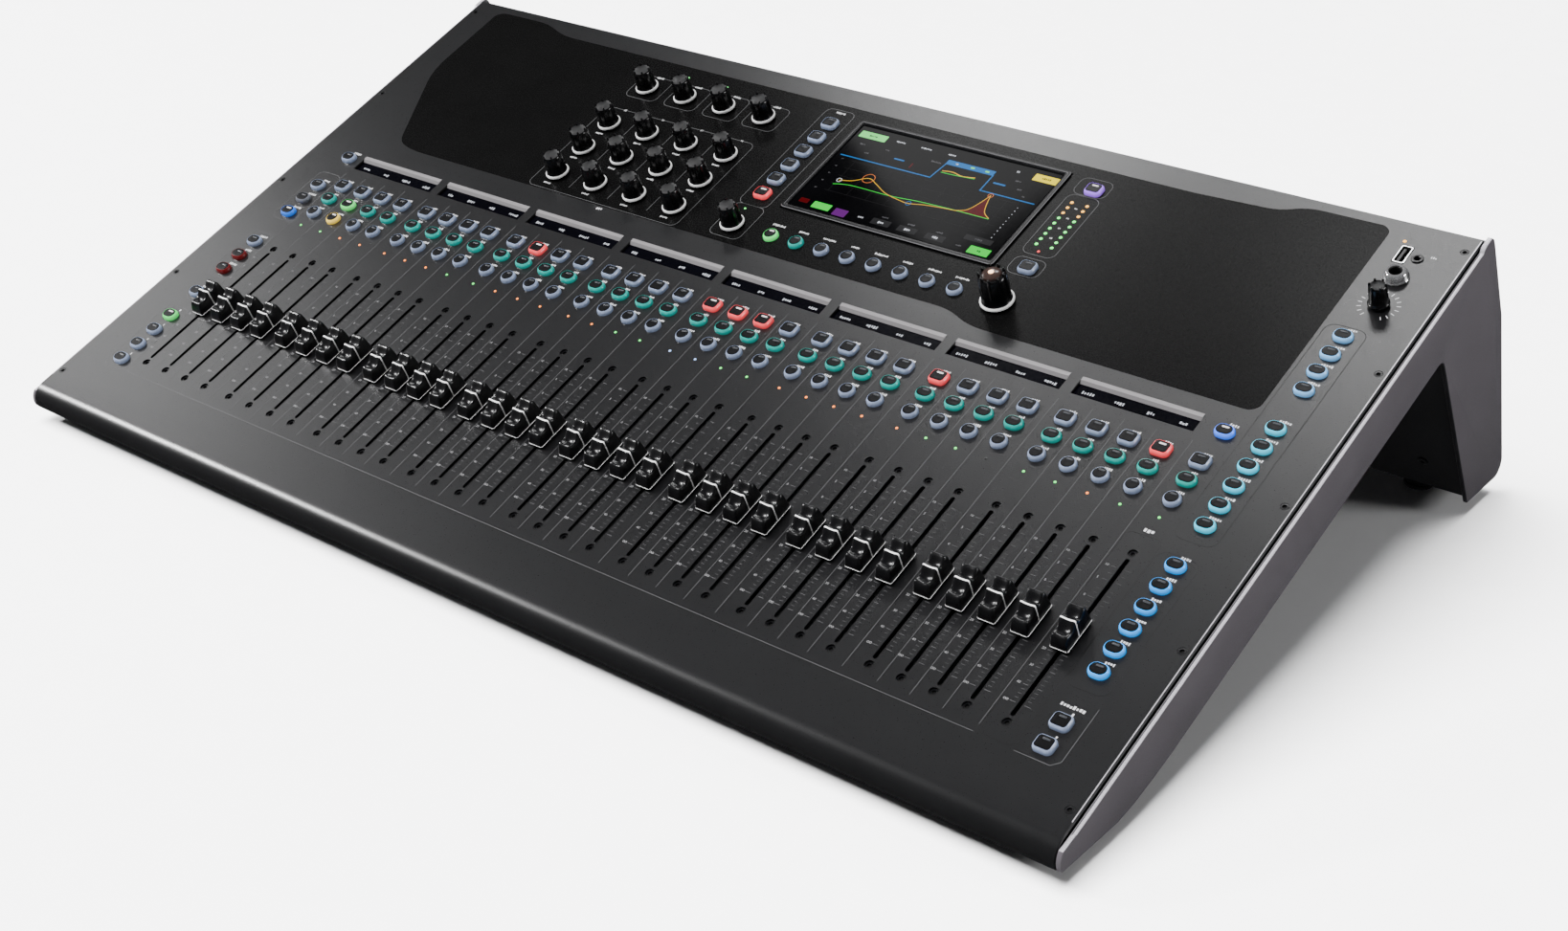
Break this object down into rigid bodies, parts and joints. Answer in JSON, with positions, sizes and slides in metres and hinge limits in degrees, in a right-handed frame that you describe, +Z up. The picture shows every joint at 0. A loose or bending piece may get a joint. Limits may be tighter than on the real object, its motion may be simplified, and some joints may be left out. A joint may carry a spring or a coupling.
{
  "type": "mixing console",
  "caption": "Digital mixing console: sloping control panel with motor faders, rotary encoders, lit keys, a touchscreen and channel displays on a wedge chassis with rear sockets.",
  "frame": {"origin": "centre of the footprint on the surface the feet stand on", "axes": "+X to the user's right along the width, +Y to the back, +Z up; the faders' end faces -Y"},
  "size_m": [0.801, 0.504, 0.1903],
  "materials": {
    "panel_paint": "satin powder coat",
    "base_paint": "satin black paint",
    "cheek_paint": "satin metallic paint",
    "foot_rubber": "matte",
    "bezel_plastic": "bevelled and satin",
    "screen_glass": "glossy touch surface over a lit display",
    "display_glass": "glossy with lit labels",
    "board_green": "solder mask",
    "supply_steel": "plated",
    "socket_chrome": "bright nickel",
    "socket_plastic": "moulded",
    "key_plastic": "black window over a translucent tinted skirt",
    "knob_plastic": "glossy black with a white ring",
    "fader_plastic": "glossy black with a white index line"
  },
  "bodies": {
    "chassis": {"top_panel": "panel_paint", "base_pan": "base_paint", "rear_panel": "panel_paint", "left_cheek": "cheek_paint", "right_cheek": "cheek_paint", "foot_front_left": "foot_rubber", "foot_front_right": "foot_rubber", "foot_rear_left": "foot_rubber", "foot_rear_right": "foot_rubber", "screen_bezel": "bezel_plastic", "touchscreen": "screen_glass", "channel_displays": "display_glass", "control_board": "board_green", "power_supply": "supply_steel", "front_sockets": "socket_chrome", "socket_bank": "socket_plastic", "mains_inlet": "socket_plastic"},
    "faders_01_02": {"faders_01_02": "fader_plastic"},
    "knob_1_1": {"knob_1_1": "knob_plastic"},
    "mute_keys": {"mute_keys": "key_plastic"},
    "select_keys": {"select_keys": "key_plastic"},
    "listen_keys": {"listen_keys": "key_plastic"},
    "mix_keys": {"mix_keys": "key_plastic"},
    "layer_keys": {"layer_keys": "key_plastic"},
    "screen_keys": {"screen_keys": "key_plastic"},
    "power_rocker": {"power_rocker": "knob_plastic"},
    "fader_mix": {"fader_mix": "fader_plastic"},
    "screen_knob": {"screen_knob": "knob_plastic"},
    "phones_knob": {"phones_knob": "knob_plastic"},
    "pan_knob": {"pan_knob": "knob_plastic"},
    "faders_03_04": {"faders_03_04": "fader_plastic"},
    "faders_05_06": {"faders_05_06": "fader_plastic"},
    "faders_07_08": {"faders_07_08": "fader_plastic"},
    "faders_09_10": {"faders_09_10": "fader_plastic"},
    "faders_11_12": {"faders_11_12": "fader_plastic"},
    "faders_13_14": {"faders_13_14": "fader_plastic"},
    "faders_15_16": {"faders_15_16": "fader_plastic"},
    "faders_17_18": {"faders_17_18": "fader_plastic"},
    "faders_19_20": {"faders_19_20": "fader_plastic"},
    "faders_21_22": {"faders_21_22": "fader_plastic"},
    "faders_23_24": {"faders_23_24": "fader_plastic"},
    "faders_25_26": {"faders_25_26": "fader_plastic"},
    "faders_27_28": {"faders_27_28": "fader_plastic"},
    "faders_29_30": {"faders_29_30": "fader_plastic"},
    "faders_31_32": {"faders_31_32": "fader_plastic"},
    "knob_1_2": {"knob_1_2": "knob_plastic"},
    "knob_1_3": {"knob_1_3": "knob_plastic"},
    "knob_1_4": {"knob_1_4": "knob_plastic"},
    "knob_2_1": {"knob_2_1": "knob_plastic"},
    "knob_2_2": {"knob_2_2": "knob_plastic"},
    "knob_2_3": {"knob_2_3": "knob_plastic"},
    "knob_2_4": {"knob_2_4": "knob_plastic"},
    "knob_3_1": {"knob_3_1": "knob_plastic"},
    "knob_3_2": {"knob_3_2": "knob_plastic"},
    "knob_3_3": {"knob_3_3": "knob_plastic"},
    "knob_3_4": {"knob_3_4": "knob_plastic"},
    "knob_4_1": {"knob_4_1": "knob_plastic"},
    "knob_4_2": {"knob_4_2": "knob_plastic"},
    "knob_4_3": {"knob_4_3": "knob_plastic"},
    "knob_4_4": {"knob_4_4": "knob_plastic"}
  },
  "joints": [
    {"name": "faders_01_02_slide", "type": "slide", "parent": "chassis", "child": "faders_01_02", "axis": [0, 0.9336, 0.3584], "range_m": [-0.048, 0.048]},
    {"name": "knob_1_1_turn", "type": "hinge", "parent": "chassis", "child": "knob_1_1", "pos_m": [-0.1897, 0.13112, 0.1711], "axis": [0, -0.3584, 0.9336], "continuous": true},
    {"name": "mute_keys_press", "type": "slide", "parent": "chassis", "child": "mute_keys", "axis": [0, 0.3584, -0.9336], "range_m": [0, 0.0008], "stiffness_N_per_m": 4000, "springref_m": -0.0008},
    {"name": "select_keys_press", "type": "slide", "parent": "chassis", "child": "select_keys", "axis": [0, 0.3584, -0.9336], "range_m": [0, 0.0008], "stiffness_N_per_m": 4000, "springref_m": -0.0008},
    {"name": "listen_keys_press", "type": "slide", "parent": "chassis", "child": "listen_keys", "axis": [0, 0.3584, -0.9336], "range_m": [0, 0.0008], "stiffness_N_per_m": 4000, "springref_m": -0.0008},
    {"name": "mix_keys_press", "type": "slide", "parent": "chassis", "child": "mix_keys", "axis": [0, 0.3584, -0.9336], "range_m": [0, 0.0008], "stiffness_N_per_m": 3000, "springref_m": -0.0008},
    {"name": "layer_keys_press", "type": "slide", "parent": "chassis", "child": "layer_keys", "axis": [0, 0.3584, -0.9336], "range_m": [0, 0.0008], "stiffness_N_per_m": 2000, "springref_m": -0.0008},
    {"name": "screen_keys_press", "type": "slide", "parent": "chassis", "child": "screen_keys", "axis": [0, 0.3584, -0.9336], "range_m": [0, 0.0008], "stiffness_N_per_m": 3000, "springref_m": -0.0008},
    {"name": "power_rocker_tip", "type": "hinge", "parent": "chassis", "child": "power_rocker", "pos_m": [0.33, 0.20109, 0.1144], "axis": [1, 0, 0], "range_deg": [0, 16]},
    {"name": "fader_mix_slide", "type": "slide", "parent": "chassis", "child": "fader_mix", "axis": [0, 0.9336, 0.3584], "range_m": [-0.048, 0.048]},
    {"name": "screen_knob_turn", "type": "hinge", "parent": "chassis", "child": "screen_knob", "pos_m": [0.1656, 0.03888, 0.13569], "axis": [0, -0.3584, 0.9336], "continuous": true},
    {"name": "phones_knob_turn", "type": "hinge", "parent": "chassis", "child": "phones_knob", "pos_m": [0.368, 0.11012, 0.16303], "axis": [0, -0.3584, 0.9336], "range_deg": [-150, 150]},
    {"name": "pan_knob_turn", "type": "hinge", "parent": "chassis", "child": "pan_knob", "pos_m": [-0.0363, 0.03888, 0.13569], "axis": [0, -0.3584, 0.9336], "continuous": true},
    {"name": "faders_03_04_slide", "type": "slide", "parent": "chassis", "child": "faders_03_04", "axis": [0, 0.9336, 0.3584], "range_m": [-0.048, 0.048]},
    {"name": "faders_05_06_slide", "type": "slide", "parent": "chassis", "child": "faders_05_06", "axis": [0, 0.9336, 0.3584], "range_m": [-0.048, 0.048]},
    {"name": "faders_07_08_slide", "type": "slide", "parent": "chassis", "child": "faders_07_08", "axis": [0, 0.9336, 0.3584], "range_m": [-0.048, 0.048]},
    {"name": "faders_09_10_slide", "type": "slide", "parent": "chassis", "child": "faders_09_10", "axis": [0, 0.9336, 0.3584], "range_m": [-0.048, 0.048]},
    {"name": "faders_11_12_slide", "type": "slide", "parent": "chassis", "child": "faders_11_12", "axis": [0, 0.9336, 0.3584], "range_m": [-0.048, 0.048]},
    {"name": "faders_13_14_slide", "type": "slide", "parent": "chassis", "child": "faders_13_14", "axis": [0, 0.9336, 0.3584], "range_m": [-0.048, 0.048]},
    {"name": "faders_15_16_slide", "type": "slide", "parent": "chassis", "child": "faders_15_16", "axis": [0, 0.9336, 0.3584], "range_m": [-0.048, 0.048]},
    {"name": "faders_17_18_slide", "type": "slide", "parent": "chassis", "child": "faders_17_18", "axis": [0, 0.9336, 0.3584], "range_m": [-0.048, 0.048]},
    {"name": "faders_19_20_slide", "type": "slide", "parent": "chassis", "child": "faders_19_20", "axis": [0, 0.9336, 0.3584], "range_m": [-0.048, 0.048]},
    {"name": "faders_21_22_slide", "type": "slide", "parent": "chassis", "child": "faders_21_22", "axis": [0, 0.9336, 0.3584], "range_m": [-0.048, 0.048]},
    {"name": "faders_23_24_slide", "type": "slide", "parent": "chassis", "child": "faders_23_24", "axis": [0, 0.9336, 0.3584], "range_m": [-0.048, 0.048]},
    {"name": "faders_25_26_slide", "type": "slide", "parent": "chassis", "child": "faders_25_26", "axis": [0, 0.9336, 0.3584], "range_m": [-0.048, 0.048]},
    {"name": "faders_27_28_slide", "type": "slide", "parent": "chassis", "child": "faders_27_28", "axis": [0, 0.9336, 0.3584], "range_m": [-0.048, 0.048]},
    {"name": "faders_29_30_slide", "type": "slide", "parent": "chassis", "child": "faders_29_30", "axis": [0, 0.9336, 0.3584], "range_m": [-0.048, 0.048]},
    {"name": "faders_31_32_slide", "type": "slide", "parent": "chassis", "child": "faders_31_32", "axis": [0, 0.9336, 0.3584], "range_m": [-0.048, 0.048]},
    {"name": "knob_1_2_turn", "type": "hinge", "parent": "chassis", "child": "knob_1_2", "pos_m": [-0.1549, 0.13112, 0.1711], "axis": [0, -0.3584, 0.9336], "continuous": true},
    {"name": "knob_1_3_turn", "type": "hinge", "parent": "chassis", "child": "knob_1_3", "pos_m": [-0.1201, 0.13112, 0.1711], "axis": [0, -0.3584, 0.9336], "continuous": true},
    {"name": "knob_1_4_turn", "type": "hinge", "parent": "chassis", "child": "knob_1_4", "pos_m": [-0.0853, 0.13112, 0.1711], "axis": [0, -0.3584, 0.9336], "continuous": true},
    {"name": "knob_2_1_turn", "type": "hinge", "parent": "chassis", "child": "knob_2_1", "pos_m": [-0.1897, 0.09144, 0.15587], "axis": [0, -0.3584, 0.9336], "continuous": true},
    {"name": "knob_2_2_turn", "type": "hinge", "parent": "chassis", "child": "knob_2_2", "pos_m": [-0.1549, 0.09144, 0.15587], "axis": [0, -0.3584, 0.9336], "continuous": true},
    {"name": "knob_2_3_turn", "type": "hinge", "parent": "chassis", "child": "knob_2_3", "pos_m": [-0.1201, 0.09144, 0.15587], "axis": [0, -0.3584, 0.9336], "continuous": true},
    {"name": "knob_2_4_turn", "type": "hinge", "parent": "chassis", "child": "knob_2_4", "pos_m": [-0.0853, 0.09144, 0.15587], "axis": [0, -0.3584, 0.9336], "continuous": true},
    {"name": "knob_3_1_turn", "type": "hinge", "parent": "chassis", "child": "knob_3_1", "pos_m": [-0.1897, 0.0653, 0.14583], "axis": [0, -0.3584, 0.9336], "continuous": true},
    {"name": "knob_3_2_turn", "type": "hinge", "parent": "chassis", "child": "knob_3_2", "pos_m": [-0.1549, 0.0653, 0.14583], "axis": [0, -0.3584, 0.9336], "continuous": true},
    {"name": "knob_3_3_turn", "type": "hinge", "parent": "chassis", "child": "knob_3_3", "pos_m": [-0.1201, 0.0653, 0.14583], "axis": [0, -0.3584, 0.9336], "continuous": true},
    {"name": "knob_3_4_turn", "type": "hinge", "parent": "chassis", "child": "knob_3_4", "pos_m": [-0.0853, 0.0653, 0.14583], "axis": [0, -0.3584, 0.9336], "continuous": true},
    {"name": "knob_4_1_turn", "type": "hinge", "parent": "chassis", "child": "knob_4_1", "pos_m": [-0.1897, 0.03888, 0.13569], "axis": [0, -0.3584, 0.9336], "continuous": true},
    {"name": "knob_4_2_turn", "type": "hinge", "parent": "chassis", "child": "knob_4_2", "pos_m": [-0.1549, 0.03888, 0.13569], "axis": [0, -0.3584, 0.9336], "continuous": true},
    {"name": "knob_4_3_turn", "type": "hinge", "parent": "chassis", "child": "knob_4_3", "pos_m": [-0.1201, 0.03888, 0.13569], "axis": [0, -0.3584, 0.9336], "continuous": true},
    {"name": "knob_4_4_turn", "type": "hinge", "parent": "chassis", "child": "knob_4_4", "pos_m": [-0.0853, 0.03888, 0.13569], "axis": [0, -0.3584, 0.9336], "continuous": true}
  ]
}
